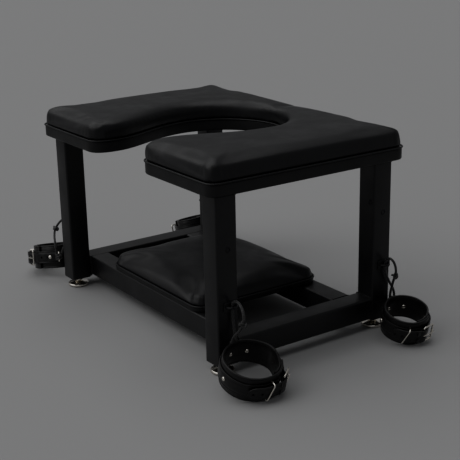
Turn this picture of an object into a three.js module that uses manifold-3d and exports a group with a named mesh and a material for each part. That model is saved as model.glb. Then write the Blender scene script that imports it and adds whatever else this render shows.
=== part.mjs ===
// Padded U-shaped restraint bench on a square-tube frame, with a lower pad and four buckled cuffs.
// Millimetres, +Z up. The origin is on the floor under the middle of the bench.
// The front, where the U opens, faces -Y.
import * as THREE from 'three';
import { mergeVertices } from 'three/addons/utils/BufferGeometryUtils.js';
import Module from 'manifold-3d';

const wasm = await Module();
wasm.setup();

// Driving dimensions: frame
const tubeSide = 40;
const tubeWall = 2;
const tubeCorner = 3;
const legX = 259;
const legY = 165;
const legBottom = 18;
const boardBottom = 310;
const topPlate = 62;
const topPlateThick = 4;
const railBottom = 21;
const frontRailY = -122.6;
const rearRailY = 105.4;
const weldGap = 0.1;

// Seat
const seatHalfWidth = 294;
const seatHalfDepth = 203;
const seatCorner = 18;
const boardThick = 21;
const padTop = 366;
const padBulge = 2;
const padRound = 6;
const mouthHalf = 108;
const neckHalf = 76;
const neckY = -155;
const holeRadius = 125;
const holeY = 15;

// Lower pad
const lowerHalfWidth = 155;
const lowerCorner = 26;
const lowerBoardThick = 9;
const lowerPadTop = 97;

// Levelling feet
const footRadius = 20.5;
const studRadius = 4.8;
const studHole = 5.8;
const studTop = 50;
const nutAcrossFlats = 17;
const nutBottom = 11.7;
const nutHeight = 6;
const footRimTop = 5.4;
const footHubTop = 9;
const plugHeight = 16;
const slipGap = 0.3;

// Cuffs: each Out is measured from the outer surface of the band, whose radius is set for each
// corner, and each Side is measured round from the middle of the buckle
const bandThick = 3.4;
const bandHeight = 47;
const bandOverlap = 44;
const strapWidth = 25;
const strapThick = 2.4;
const layerGap = 0.4;
const heelBarOut = 7.2;
const heelBarSide = 10;
const frontBarOut = 8.8;
const frontBarSide = 12.2;
const barThick = 3;
const frameOuterWidth = 33;
const prongHeight = 3;
const tailRise = 11.5;
const tailOut = 8;
const keeperSide = 42;
const keeperHeight = 33;
const keeperWire = 2.4;
const keeperSkew = -20;
const ringBarOut = 5.3;
const tabThick = 1.8;
const tabBow = 5.4;
const tabHeight = 16;
const tabHalfLong = 20.9;
const bowHalfLong = 6.9;

// Anchor eyes and tether cords
const eyeZ = 121;
const eyeRadius = 9;
const eyeWire = 2;
const eyePlate = 2;
const eyePlateHalfY = 14;
const eyePlateHalfZ = 8;
const cordRadius = 2.25;
const cordOut = 5.1;
const cordDrop = 11;
const ringReach = 12.6;
const cordClear = 4.6;

// One entry for each corner of the bench. radius and cuff are the band's outer radius and where its
// middle lies; tilt leans it away from the leg, spin turns it on the floor and turn shifts its
// buckle round it, in degrees. loop is the cord's route on its way out from the eye:
// [distance out from the leg's face, height].
const corners = [
  {
    name: 'front_left', sideX: -1, sideY: -1, radius: 48, cuff: [360, -160.5],
    tilt: 14.5, spin: -22, turn: 108, eyeY: -160,
    loop: [[8, 129], [21, 131], [35, 124], [46, 112], [49, 100], [42, 90], [33, 81], [28, 70]],
  },
  {
    name: 'front_right', sideX: 1, sideY: -1, radius: 48, cuff: [348, -171.5],
    tilt: 19, spin: -8, turn: 49, eyeY: -160,
    loop: [[8, 130], [18, 134], [30, 131], [39, 123], [43, 111], [39, 98], [30, 86], [19, 75]],
  },
  {
    name: 'rear_right', sideX: 1, sideY: 1, radius: 40.5, cuff: [338, 170],
    tilt: 16.5, spin: -16, turn: 25, eyeY: 170,
    loop: [[8, 131], [17, 135], [24, 131], [28, 121], [27, 109], [21, 96], [15, 80], [11, 66]],
  },
  {
    name: 'rear_left', sideX: -1, sideY: 1, radius: 40.5, cuff: [342, 172],
    tilt: 17, spin: 10, turn: 25, eyeY: 170,
    loop: [[8, 130], [18, 133], [28, 129], [34, 120], [35, 109], [31, 97], [25, 84], [18, 70]],
  },
];

const steel = new THREE.MeshStandardMaterial({ color: 0x17181a, roughness: 0.45, metalness: 0.4 });
const vinyl = new THREE.MeshStandardMaterial({ color: 0x1c1c1e, roughness: 0.42, metalness: 0 });
const leather = new THREE.MeshStandardMaterial({ color: 0x18181a, roughness: 0.5, metalness: 0 });
const nickel = new THREE.MeshStandardMaterial({ color: 0xd8d4c8, roughness: 0.2, metalness: 1 });
const plastic = new THREE.MeshStandardMaterial({ color: 0x121212, roughness: 0.6, metalness: 0 });
const cordMaterial = new THREE.MeshStandardMaterial({ color: 0x0e0e0f, roughness: 0.5, metalness: 0 });

const bench = new THREE.Group();
const degrees = THREE.MathUtils.degToRad;

function addPart(parent, name, geometry, material) {
  const mesh = new THREE.Mesh(geometry, material);
  mesh.name = name;
  parent.add(mesh);
  return mesh;
}

function toSolid(geometry) {
  const bare = geometry.clone();
  bare.deleteAttribute('normal');
  bare.deleteAttribute('uv');
  const merged = mergeVertices(bare, 1e-4);
  return new wasm.Manifold(new wasm.Mesh({
    numProp: 3,
    vertProperties: new Float32Array(merged.attributes.position.array),
    triVerts: new Uint32Array(merged.index.array),
  }));
}

function fromSolid(solid) {
  const mesh = solid.getMesh();
  const geometry = new THREE.BufferGeometry();
  geometry.setAttribute('position', new THREE.BufferAttribute(new Float32Array(mesh.vertProperties), 3));
  geometry.setIndex(new THREE.BufferAttribute(new Uint32Array(mesh.triVerts), 1));
  return geometry;
}

function roundedRect(target, halfX, halfY, radius) {
  const x = halfX - radius;
  const y = halfY - radius;
  target.absarc(x, -y, radius, -Math.PI / 2, 0);
  target.absarc(x, y, radius, 0, Math.PI / 2);
  target.absarc(-x, y, radius, Math.PI / 2, Math.PI);
  target.absarc(-x, -y, radius, Math.PI, 1.5 * Math.PI);
  target.closePath();
  return target;
}

function roundHole(radius) {
  return new THREE.Path().absarc(0, 0, radius, 0, 2 * Math.PI);
}

function extrude(shape, depth, curveSegments = 6) {
  return new THREE.ExtrudeGeometry(shape, { depth, bevelEnabled: false, curveSegments });
}

// ---- Frame ----

// A square steel tube that stands along +Z from z = 0
function squareTube(length) {
  const outside = roundedRect(new THREE.Shape(), tubeSide / 2, tubeSide / 2, tubeCorner);
  const bore = tubeSide / 2 - tubeWall;
  outside.holes.push(roundedRect(new THREE.Path(), bore, bore, tubeCorner - tubeWall));
  return extrude(outside, length, 2);
}

// The leg tube with the plate welded on its top, which reaches inwards under the board
function legGeometry(sideX, sideY) {
  const tube = squareTube(boardBottom - topPlateThick / 2 - legBottom);
  tube.translate(0, 0, legBottom);
  const inset = (topPlate - tubeSide) / 2;
  const plate = roundedRect(new THREE.Shape(), topPlate / 2, topPlate / 2, tubeCorner);
  const plateGeometry = extrude(plate, topPlateThick, 2);
  plateGeometry.translate(-sideX * inset, -sideY * inset, boardBottom - topPlateThick);
  return fromSolid(toSolid(tube).add(toSolid(plateGeometry)));
}

function footProfile() {
  const rimChamfer = 1;
  const rimRound = 1.4;
  const hubRadius = 8;
  const points = [
    [0, 0], [footRadius - rimChamfer, 0], [footRadius, rimChamfer], [footRadius, footRimTop],
    [footRadius - rimRound, footRimTop + rimRound], [hubRadius, footHubTop - rimChamfer],
    [studRadius, footHubTop], [studRadius, studTop], [0, studTop],
  ];
  return points.map(([radius, height]) => new THREE.Vector2(radius, height));
}

function nutShape() {
  const corner = nutAcrossFlats / Math.sqrt(3);
  const shape = new THREE.Shape();
  for (let i = 0; i < 6; i += 1) {
    const angle = degrees(60 * i);
    const point = [corner * Math.cos(angle), corner * Math.sin(angle)];
    if (i === 0) shape.moveTo(...point);
    else shape.lineTo(...point);
  }
  shape.closePath();
  shape.holes.push(roundHole(studHole));
  return shape;
}

function addLeg(corner) {
  const group = new THREE.Group();
  group.position.set(corner.sideX * legX, corner.sideY * legY, 0);
  bench.add(group);
  addPart(group, `leg_${corner.name}`, legGeometry(corner.sideX, corner.sideY), steel);
  const plugHalf = tubeSide / 2 - tubeWall - slipGap;
  const plug = roundedRect(new THREE.Shape(), plugHalf, plugHalf, 1);
  plug.holes.push(roundHole(studHole));
  addPart(group, `leg_plug_${corner.name}`, extrude(plug, plugHeight, 3), plastic).position.z = legBottom;
  addPart(group, `levelling_foot_${corner.name}`, uprightLathe(footProfile(), 18), nickel);
  const nut = addPart(group, `lock_nut_${corner.name}`, extrude(nutShape(), nutHeight, 3), nickel);
  nut.position.z = nutBottom;
}

// LatheGeometry turns about Y, so it is stood up on Z
function uprightLathe(profile, segments) {
  const geometry = new THREE.LatheGeometry(profile, segments);
  geometry.rotateX(Math.PI / 2);
  return geometry;
}

function addRails() {
  const railMiddle = railBottom + tubeSide / 2;
  const sideLength = 2 * legY - tubeSide - 2 * weldGap;
  for (const [name, side] of [['left', -1], ['right', 1]]) {
    const rail = addPart(bench, `side_rail_${name}`, squareTube(sideLength), steel);
    rail.rotation.x = Math.PI / 2;
    rail.position.set(side * legX, sideLength / 2, railMiddle);
  }
  const crossLength = 2 * legX - tubeSide - 2 * weldGap;
  for (const [name, y] of [['front', frontRailY], ['rear', rearRailY]]) {
    const rail = addPart(bench, `cross_rail_${name}`, squareTube(crossLength), steel);
    rail.rotation.y = Math.PI / 2;
    rail.position.set(-crossLength / 2, y, railMiddle);
  }
}

// ---- Seat and lower pad ----

// The U outline, grown outwards by bulge all round
function seatShape(bulge) {
  const halfX = seatHalfWidth + bulge;
  const halfY = seatHalfDepth + bulge;
  const mouth = mouthHalf - bulge;
  const neck = neckHalf - bulge;
  const hole = holeRadius - bulge;
  const innerX = halfX - seatCorner;
  const innerY = halfY - seatCorner;
  const lipPull = 24;
  const neckPull = 30;
  const neckEase = 50;
  const holeEase = 70;
  const shape = new THREE.Shape();
  shape.moveTo(mouth, -halfY);
  shape.absarc(innerX, -innerY, seatCorner, -Math.PI / 2, 0);
  shape.absarc(innerX, innerY, seatCorner, 0, Math.PI / 2);
  shape.absarc(-innerX, innerY, seatCorner, Math.PI / 2, Math.PI);
  shape.absarc(-innerX, -innerY, seatCorner, Math.PI, 1.5 * Math.PI);
  shape.lineTo(-mouth, -halfY);
  shape.bezierCurveTo(-mouth + lipPull, -halfY, -neck, neckY - neckPull, -neck, neckY);
  shape.bezierCurveTo(-neck, neckY + neckEase, -hole, holeY - holeEase, -hole, holeY);
  shape.absarc(0, holeY, hole, Math.PI, 0, true);
  shape.bezierCurveTo(hole, holeY - holeEase, neck, neckY + neckEase, neck, neckY);
  shape.bezierCurveTo(neck, neckY - neckPull, mouth - lipPull, -halfY, mouth, -halfY);
  return shape;
}

function cushion(shape, height, curveSegments) {
  const geometry = new THREE.ExtrudeGeometry(shape, {
    depth: height - 2 * padRound,
    bevelThickness: padRound,
    bevelSize: padRound,
    bevelOffset: -padRound,
    bevelSegments: 1,
    curveSegments,
  });
  geometry.translate(0, 0, padRound);
  return geometry;
}

function addSeat() {
  addPart(bench, 'seat_board', extrude(seatShape(0), boardThick, 8), vinyl).position.z = boardBottom;
  const padBottom = boardBottom + boardThick;
  const pad = addPart(bench, 'seat_pad', cushion(seatShape(padBulge), padTop - padBottom, 8), vinyl);
  pad.position.z = padBottom;
}

function addLowerPad() {
  const front = frontRailY - tubeSide / 2;
  const rear = rearRailY + tubeSide / 2;
  const halfY = (rear - front) / 2;
  const middleY = (rear + front) / 2;
  const outline = roundedRect(new THREE.Shape(), lowerHalfWidth, halfY, lowerCorner);
  const boardZ = railBottom + tubeSide;
  const board = addPart(bench, 'lower_board', extrude(outline, lowerBoardThick, 5), vinyl);
  board.position.set(0, middleY, boardZ);
  const padBottom = boardZ + lowerBoardThick;
  const pad = addPart(bench, 'lower_pad', cushion(outline, lowerPadTop - padBottom, 5), vinyl);
  pad.position.set(0, middleY, padBottom);
}

// ---- Cuffs ----
// In a cuff's own frame the band is round about Z, the buckle faces +X and the ring faces -X.

// A strip of leather, as a closed outline about its centreline of [angle in degrees, radius]
function stripShape(centreline, thickness) {
  const edge = (shift) => centreline.map(([angle, radius]) => {
    const turn = degrees(angle);
    return new THREE.Vector2((radius + shift) * Math.cos(turn), (radius + shift) * Math.sin(turn));
  });
  return new THREE.Shape([...edge(thickness / 2), ...edge(-thickness / 2).reverse()]);
}

function smoothStep(value) {
  const t = THREE.MathUtils.clamp(value, 0, 1);
  return t * t * (3 - 2 * t);
}

function standing(shape, height, curveSegments = 4) {
  const geometry = extrude(shape, height, curveSegments);
  geometry.translate(0, 0, -height / 2);
  return geometry;
}

// The band overlaps itself: its inner end tucks under the outer end behind the buckle
function bandGeometry(radius) {
  const start = -bandOverlap / 2;
  const span = 360 + bandOverlap;
  const rampDelay = 6;
  const rampSpan = 40;
  const outer = radius - bandThick / 2;
  const inner = outer - bandThick - layerGap;
  const steps = 36;
  const line = [];
  for (let i = 0; i <= steps; i += 1) {
    const along = (span * i) / steps;
    const ramp = smoothStep((along - bandOverlap - rampDelay) / rampSpan);
    line.push([start + along, THREE.MathUtils.lerp(inner, outer, ramp)]);
  }
  return standing(stripShape(line, bandThick), bandHeight);
}

// The strap starts at the heel bar, goes once round the band, comes back under the front bar
// and over the heel bar, and ends as a tail that lies on its own start
function strapGeometry(radius) {
  const base = radius + layerGap + strapThick / 2;
  const sideAngle = (side) => THREE.MathUtils.radToDeg(side / base);
  const heelClear = 3.6;
  const frontClear = 2.5;
  const tailSpan = 80;
  const heel = sideAngle(heelBarSide);
  const startAngle = -sideAngle(heelBarSide + heelClear);
  const riseStart = -360 + sideAngle(frontBarSide - frontClear);
  const tailEnd = -360 - tailSpan;
  const line = [];
  const bodySteps = 28;
  for (let i = 0; i < bodySteps; i += 1) {
    line.push([THREE.MathUtils.lerp(startAngle, riseStart, i / bodySteps), base]);
  }
  const peak = radius + tailRise;
  const riseSteps = 8;
  for (let i = 0; i <= riseSteps; i += 1) {
    const t = i / riseSteps;
    line.push([
      THREE.MathUtils.lerp(riseStart, -360 - heel, t),
      THREE.MathUtils.lerp(base, peak, smoothStep(t)),
    ]);
  }
  const tailSteps = 12;
  for (let i = 1; i <= tailSteps; i += 1) {
    const t = i / tailSteps;
    const drop = smoothStep(t * 3);
    line.push([
      THREE.MathUtils.lerp(-360 - heel, tailEnd, t),
      THREE.MathUtils.lerp(peak, radius + tailOut, drop),
    ]);
  }
  const strap = toSolid(standing(stripShape(line, strapThick), strapWidth));
  // the slot that the prong and its eye pass through, from just outside the body of the strap
  const slotDeep = 24;
  const slotLong = 20.5;
  const slotStart = -14;
  const slot = new THREE.BoxGeometry(slotDeep, slotLong, prongHeight + 2.2);
  slot.translate(radius + 4 + slotDeep / 2, slotStart + slotLong / 2, 0);
  return fromSolid(strap.subtract(toSolid(slot)));
}

// A flat rectangular frame, tilted so that its front bar clears the strap
function buckleFrame(radius) {
  const middleOut = radius + (heelBarOut + frontBarOut) / 2;
  const middleSide = (frontBarSide - heelBarSide) / 2;
  const halfSide = (frontBarSide + heelBarSide + barThick) / 2;
  const corner = barThick + 0.5;
  const shape = roundedRect(new THREE.Shape(), frameOuterWidth / 2, halfSide, corner);
  const insideX = frameOuterWidth / 2 - barThick;
  shape.holes.push(roundedRect(new THREE.Path(), insideX, halfSide - barThick, corner / 2));
  const geometry = standing(shape, barThick, 2);
  geometry.rotateY(Math.PI / 2);
  geometry.rotateZ(-Math.atan2(frontBarOut - heelBarOut, frontBarSide + heelBarSide));
  geometry.translate(middleOut, middleSide, 0);
  return geometry;
}

// An eye round the heel bar and a shaft that passes up through the tail and rests on the front bar
function prongGeometry(radius) {
  const eyeOuter = 3.5;
  const eyeInner = 2.35;
  const halfTip = 1.1;
  const restOut = 3.5;
  const tipPast = 2.6;
  const heelX = radius + heelBarOut;
  const eye = new THREE.Shape().absarc(heelX, -heelBarSide, eyeOuter, 0, 2 * Math.PI);
  eye.holes.push(new THREE.Path().absarc(heelX, -heelBarSide, eyeInner, 0, 2 * Math.PI));
  const tipX = radius + frontBarOut + restOut;
  const tipY = frontBarSide + tipPast;
  const shaft = new THREE.Shape([
    new THREE.Vector2(heelX + 2.6, -heelBarSide + 1.2),
    new THREE.Vector2(tipX - halfTip, tipY),
    new THREE.Vector2(tipX + halfTip, tipY),
    new THREE.Vector2(heelX + 3.4, -heelBarSide - 0.6),
  ]);
  return fromSolid(toSolid(standing(eye, prongHeight)).add(toSolid(standing(shaft, prongHeight))));
}

// A wire staple over the tail, a little askew, whose legs stand on the band beside the strap
function keeperGeometry(radius) {
  const half = keeperHeight / 2;
  const top = tailOut + strapThick / 2 + layerGap + keeperWire;
  const inside = half - keeperWire;
  const shape = new THREE.Shape();
  shape.moveTo(layerGap, -half);
  shape.lineTo(top, -half);
  shape.lineTo(top, half);
  shape.lineTo(layerGap, half);
  shape.lineTo(layerGap, inside);
  shape.lineTo(top - keeperWire, inside);
  shape.lineTo(top - keeperWire, -inside);
  shape.lineTo(layerGap, -inside);
  shape.closePath();
  const geometry = standing(shape, keeperWire);
  geometry.rotateX(Math.PI / 2 + degrees(keeperSkew));
  geometry.translate(radius, 0, 0);
  geometry.rotateZ(-keeperSide / (radius + tailOut));
  return geometry;
}

// A D-shaped ring with its straight bar along Z
function ringGeometry(radius) {
  const reach = 15;
  const halfHeight = 11.5;
  const wire = 3;
  const outline = (target, inset) => {
    const half = halfHeight - inset;
    const deep = reach - inset;
    target.moveTo(inset, -half);
    target.bezierCurveTo(deep * 0.75, -half, deep, -half * 0.7, deep, 0);
    target.bezierCurveTo(deep, half * 0.7, deep * 0.75, half, inset, half);
    target.closePath();
    return target;
  };
  const shape = outline(new THREE.Shape(), 0);
  shape.holes.push(outline(new THREE.Path(), wire));
  const geometry = standing(shape, wire);
  geometry.rotateX(Math.PI / 2);
  geometry.rotateZ(Math.PI);
  geometry.translate(-(radius + ringBarOut - wire / 2), 0, 0);
  return geometry;
}

// The riveted tab that holds the ring: it bows out over the ring's bar
function tabGeometry(radius) {
  const base = radius + layerGap + strapThick + layerGap;
  const halfSpan = THREE.MathUtils.radToDeg(tabHalfLong / radius);
  const bowHalf = THREE.MathUtils.radToDeg(bowHalfLong / radius);
  const steps = 20;
  const line = [];
  for (let i = 0; i <= steps; i += 1) {
    const angle = THREE.MathUtils.lerp(-halfSpan, halfSpan, i / steps);
    const rise = Math.abs(angle) < bowHalf ? Math.cos((angle / bowHalf) * (Math.PI / 2)) ** 2 : 0;
    line.push([180 + angle, base + tabThick / 2 + tabBow * rise]);
  }
  return standing(stripShape(line, tabThick), tabHeight);
}

// Lays a cuff down at its corner and returns where its cord is tied on
function addCuff(corner) {
  const { name, sideX, radius } = corner;
  const tilt = degrees(corner.tilt);
  const height = radius * Math.sin(tilt) + (bandHeight / 2) * Math.cos(tilt);
  const place = new THREE.Group();
  place.position.set(sideX * corner.cuff[0], corner.cuff[1], height);
  place.rotation.z = degrees(corner.spin);
  bench.add(place);
  const group = new THREE.Group();
  group.rotation.set(0, sideX * tilt, sideX > 0 ? 0 : Math.PI);
  place.add(group);
  const closure = new THREE.Group();
  closure.rotation.z = degrees(corner.turn);
  group.add(closure);
  addPart(closure, `cuff_band_${name}`, bandGeometry(radius), leather);
  addPart(closure, `cuff_strap_${name}`, strapGeometry(radius), leather);
  addPart(closure, `buckle_frame_${name}`, buckleFrame(radius), nickel);
  addPart(closure, `buckle_prong_${name}`, prongGeometry(radius), nickel);
  addPart(closure, `strap_keeper_${name}`, keeperGeometry(radius), nickel);
  addPart(group, `ring_tab_${name}`, tabGeometry(radius), leather);
  addPart(group, `d_ring_${name}`, ringGeometry(radius), nickel);
  bench.updateMatrixWorld(true);
  return group.localToWorld(new THREE.Vector3(-(radius + ringReach), 0, 0));
}

// ---- Anchor eyes and tether cords ----

// A staple on a small plate: the cord passes down between the staple and the plate
function eyeGeometry() {
  const plate = extrude(roundedRect(new THREE.Shape(), eyePlateHalfZ, eyePlateHalfY, 3), eyePlate, 3);
  plate.rotateY(Math.PI / 2);
  const stapleCentre = eyePlate / 2;
  const stapleSteps = 8;
  const route = new THREE.CatmullRomCurve3(Array.from({ length: stapleSteps + 1 }, (_, i) => {
    const angle = Math.PI * (i / stapleSteps) - Math.PI / 2;
    return new THREE.Vector3(
      stapleCentre + eyeRadius * Math.cos(angle), eyeRadius * Math.sin(angle), 0,
    );
  }));
  const section = new THREE.Shape().absarc(0, 0, eyeWire, 0, 2 * Math.PI);
  const staple = new THREE.ExtrudeGeometry(section, {
    steps: stapleSteps, extrudePath: route, curveSegments: 3,
  });
  return fromSolid(toSolid(plate).add(toSolid(staple)));
}

// The cord's route: up from one side of the ring, round the loop, down through the eye
// and back to the other side of the ring
function cordRoute(corner, ring) {
  const face = legX + tubeSide / 2;
  const spin = degrees(corner.spin);
  const ringOut = corner.sideX * ring.x - face;
  const aboveRing = ring.z + 3;
  const belowRing = ring.z - 4;
  const at = (out, z, toRing, aside) => new THREE.Vector3(
    corner.sideX * (face + out) - aside * Math.sin(spin),
    THREE.MathUtils.lerp(corner.eyeY, ring.y, toRing) + aside * Math.cos(spin), z,
  );
  const points = [at(ringOut, belowRing, 1, -cordClear), at(ringOut, aboveRing, 1, -cordClear)];
  const loop = [...corner.loop].reverse();
  loop.forEach(([out, z], i) => {
    const toRing = smoothStep(1 - i / (loop.length - 1));
    points.push(at(out, z, toRing, -cordClear * toRing));
  });
  const belowEye = eyeZ - cordDrop;
  points.push(at(cordOut, eyeZ, 0, 0), at(cordOut, belowEye, 0, 0));
  for (const t of [0.35, 0.68]) {
    const out = THREE.MathUtils.lerp(cordOut, ringOut, t * t);
    const toRing = smoothStep(t * 1.3);
    points.push(at(out, THREE.MathUtils.lerp(belowEye, aboveRing, t), toRing, cordClear * toRing));
  }
  points.push(at(ringOut, aboveRing, 1, cordClear), at(ringOut, belowRing, 1, cordClear));
  return points;
}

function cordGeometry(points) {
  const route = new THREE.CatmullRomCurve3(points, false, 'centripetal');
  const section = new THREE.Shape().absarc(0, 0, cordRadius, 0, 2 * Math.PI);
  return new THREE.ExtrudeGeometry(section, { steps: 26, extrudePath: route, curveSegments: 4 });
}

function addTether(corner, ring) {
  const eye = addPart(bench, `anchor_eye_${corner.name}`, eyeGeometry(), steel);
  eye.position.set(corner.sideX * (legX + tubeSide / 2 + weldGap), corner.eyeY, eyeZ);
  eye.rotation.z = corner.sideX > 0 ? 0 : Math.PI;
  addPart(bench, `tether_cord_${corner.name}`, cordGeometry(cordRoute(corner, ring)), cordMaterial);
}

for (const corner of corners) {
  addLeg(corner);
}
addRails();
addSeat();
addLowerPad();
for (const corner of corners) {
  addTether(corner, addCuff(corner));
}

export default bench;
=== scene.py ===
import math

import bmesh
import bpy
import numpy as np
from mathutils import Matrix, Vector


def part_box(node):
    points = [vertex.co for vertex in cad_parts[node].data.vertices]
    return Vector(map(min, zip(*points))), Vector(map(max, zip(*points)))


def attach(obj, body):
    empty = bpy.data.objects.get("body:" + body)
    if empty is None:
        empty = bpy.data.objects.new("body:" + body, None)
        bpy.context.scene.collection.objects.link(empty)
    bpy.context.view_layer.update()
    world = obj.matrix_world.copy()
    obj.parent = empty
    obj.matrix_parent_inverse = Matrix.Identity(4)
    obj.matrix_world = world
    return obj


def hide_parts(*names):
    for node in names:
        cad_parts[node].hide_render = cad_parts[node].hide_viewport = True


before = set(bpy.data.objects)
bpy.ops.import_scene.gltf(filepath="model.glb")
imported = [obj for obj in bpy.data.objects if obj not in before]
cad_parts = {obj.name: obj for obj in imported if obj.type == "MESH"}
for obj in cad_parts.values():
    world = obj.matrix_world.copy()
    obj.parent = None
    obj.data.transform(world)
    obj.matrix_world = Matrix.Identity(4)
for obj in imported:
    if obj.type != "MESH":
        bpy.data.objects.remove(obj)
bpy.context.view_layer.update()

scene = bpy.context.scene

# the four corners. radius and middle are the cuff's outer radius and where it lies, lean tilts it
# away from the leg, spin turns it on the floor and turn shifts its buckle round it, in degrees;
# loop is the cord's route out from the eye, as (distance out from the leg, height)
corners = {
    "front_left": {
        "side": -1, "radius": 0.048, "middle": (0.360, -0.1605), "lean": 14.5, "spin": -22, "turn": 108,
        "eyeY": -0.160, "loop": [(0.008, 0.129), (0.021, 0.131), (0.035, 0.124), (0.046, 0.112),
                                 (0.049, 0.100), (0.042, 0.090), (0.033, 0.081), (0.028, 0.070)],
    },
    "front_right": {
        "side": 1, "radius": 0.048, "middle": (0.348, -0.1715), "lean": 19, "spin": -8, "turn": 49,
        "eyeY": -0.160, "loop": [(0.008, 0.130), (0.018, 0.134), (0.030, 0.131), (0.039, 0.123),
                                 (0.043, 0.111), (0.039, 0.098), (0.030, 0.086), (0.019, 0.075)],
    },
    "rear_right": {
        "side": 1, "radius": 0.0405, "middle": (0.338, 0.170), "lean": 16.5, "spin": -16, "turn": 25,
        "eyeY": 0.170, "loop": [(0.008, 0.131), (0.017, 0.135), (0.024, 0.131), (0.028, 0.121),
                                (0.027, 0.109), (0.021, 0.096), (0.015, 0.080), (0.011, 0.066)],
    },
    "rear_left": {
        "side": -1, "radius": 0.0405, "middle": (0.342, 0.172), "lean": 17, "spin": 10, "turn": 25,
        "eyeY": 0.170, "loop": [(0.008, 0.130), (0.018, 0.133), (0.028, 0.129), (0.034, 0.120),
                                (0.035, 0.109), (0.031, 0.097), (0.025, 0.084), (0.018, 0.070)],
    },
}


# ---------- camera ----------
viewSet = {"place": (1.603, -1.0676, 0.7619), "yaw": 0.969, "pitch": 0.309, "roll": -0.021, "lens": 83.9}


def makeCamera(s):
    yaw, pitch, roll = s["yaw"], s["pitch"], s["roll"]
    forward = Vector((-math.sin(yaw) * math.cos(pitch), math.cos(yaw) * math.cos(pitch), -math.sin(pitch)))
    level = Vector((math.cos(yaw), math.sin(yaw), 0))
    upright = level.cross(forward)
    across = level * math.cos(roll) + upright * math.sin(roll)
    upward = upright * math.cos(roll) - level * math.sin(roll)
    data = bpy.data.cameras.new("view")
    data.sensor_width = 36
    data.lens = s["lens"]
    camera = bpy.data.objects.new("view", data)
    scene.collection.objects.link(camera)
    turn = Matrix((across, upward, -forward)).transposed().to_4x4()
    camera.matrix_world = Matrix.Translation(s["place"]) @ turn
    scene.camera = camera


makeCamera(viewSet)
print("camera done")


# ---------- material building ----------
def newMaterial(name, color, roughness, metallic=0.0):
    material = bpy.data.materials.new(name)
    material.use_nodes = True
    shader = material.node_tree.nodes["Principled BSDF"]
    shader.inputs["Base Color"].default_value = (*color, 1)
    shader.inputs["Roughness"].default_value = roughness
    shader.inputs["Metallic"].default_value = metallic
    return material, material.node_tree, shader


def addNode(tree, kind, **inputs):
    node = tree.nodes.new(kind)
    for name, value in inputs.items():
        node.inputs[name].default_value = value
    return node


def objectCoords(tree):
    return addNode(tree, "ShaderNodeTexCoord").outputs["Object"]


def noiseOf(tree, where, scale, detail=3.0):
    node = addNode(tree, "ShaderNodeTexNoise", Scale=scale, Detail=detail)
    tree.links.new(where, node.inputs["Vector"])
    return node.outputs["Fac"]


def rangeOf(tree, value, fromLow, fromHigh, toLow, toHigh):
    node = tree.nodes.new("ShaderNodeMapRange")
    for name, number in (("From Min", fromLow), ("From Max", fromHigh), ("To Min", toLow), ("To Max", toHigh)):
        node.inputs[name].default_value = number
    tree.links.new(value, node.inputs["Value"])
    return node.outputs["Result"]


def mixOf(tree, fac, first, second):
    node = tree.nodes.new("ShaderNodeMix")
    node.data_type = "RGBA"
    tree.links.new(fac, node.inputs["Factor"])
    colors = [socket for socket in node.inputs if socket.type == "RGBA"]
    for socket, color in zip(colors, (first, second)):
        socket.default_value = (*color, 1)
    return next(o for o in node.outputs if o.type == "RGBA")


# one Math node, whose inputs are numbers or other nodes' outputs
def mathOf(tree, operation, *given):
    node = tree.nodes.new("ShaderNodeMath")
    node.operation = operation
    for socket, value in zip(node.inputs, given):
        if isinstance(value, (int, float)):
            socket.default_value = value
        else:
            tree.links.new(value, socket)
    return node.outputs[0]


def bumpOf(tree, height, strength, distance, under=None):
    node = addNode(tree, "ShaderNodeBump", Strength=strength, Distance=distance)
    tree.links.new(height, node.inputs["Height"])
    if under is not None:
        tree.links.new(under, node.inputs["Normal"])
    return node.outputs["Normal"]


def grainOf(tree, where, scale):
    cells = addNode(tree, "ShaderNodeTexVoronoi", Scale=scale)
    cells.feature = "SMOOTH_F1"
    tree.links.new(where, cells.inputs["Vector"])
    return cells.outputs["Distance"]


# a procedural coat. tone is the scale and detail of the noise that mixes dark with light; sheen is a
# noise's scale and detail, the part of its range that is used and the roughness it gives; each bump
# is (kind, scale, detail, strength, distance), laid over the one before
def makeCoat(s):
    material, tree, shader = newMaterial(s["name"], s["light"], s["roughness"], s.get("metallic", 0.0))
    shader.inputs["Specular IOR Level"].default_value = s.get("specular", 0.5)
    where = objectCoords(tree)
    if "dark" in s:
        toned = mixOf(tree, noiseOf(tree, where, *s["tone"]), s["dark"], s["light"])
        tree.links.new(toned, shader.inputs["Base Color"])
    scale, detail, *spread = s["sheen"]
    tree.links.new(rangeOf(tree, noiseOf(tree, where, scale, detail), *spread), shader.inputs["Roughness"])
    normal = None
    for kind, scale, detail, strength, distance in s["bumps"]:
        if kind == "grain":
            height = grainOf(tree, where, scale)
        elif kind == "drawn":  # creases pulled long up the edge of a board
            drag = addNode(tree, "ShaderNodeMapping", Scale=(1, 1, 0.25))
            tree.links.new(where, drag.inputs["Vector"])
            height = noiseOf(tree, drag.outputs["Vector"], scale, detail)
        else:
            height = noiseOf(tree, where, scale, detail)
        normal = bumpOf(tree, height, strength, distance, normal)
    if normal is not None:
        tree.links.new(normal, shader.inputs["Normal"])
    return material


def makePlastic(name, color):
    return makeCoat({"name": name, "light": color, "roughness": 0.6,
                     "sheen": (120, 3.0, 0.3, 0.7, 0.5, 0.7), "bumps": [("noise", 1500, 3.0, 0.2, 0.0001)]})


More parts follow.
